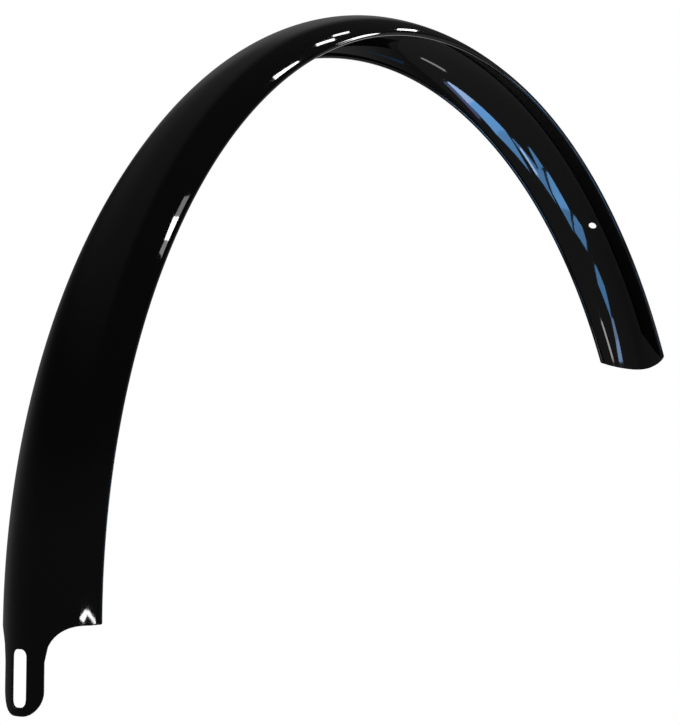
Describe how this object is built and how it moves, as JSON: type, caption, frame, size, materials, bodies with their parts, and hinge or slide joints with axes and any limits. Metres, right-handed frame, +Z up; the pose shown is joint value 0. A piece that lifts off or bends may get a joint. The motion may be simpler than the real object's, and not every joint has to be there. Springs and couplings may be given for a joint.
{
  "type": "bicycle mudguard",
  "caption": "Curved bicycle mudguard blade in painted sheet steel, with rolled rims, a slotted fixing tongue, a stay hole and a slanted tail.",
  "frame": {"origin": "middle of the slot in the tongue, on the outside of the sheet", "axes": "+X from the tongue towards the wheel axle and on to the tail, +Y across the blade, +Z up along the straight tongue"},
  "size_m": [0.6976, 0.059, 0.4056],
  "materials": {
    "black_paint": "gloss"
  },
  "bodies": {
    "root": {"mudguard": "black_paint"}
  },
  "joints": []
}
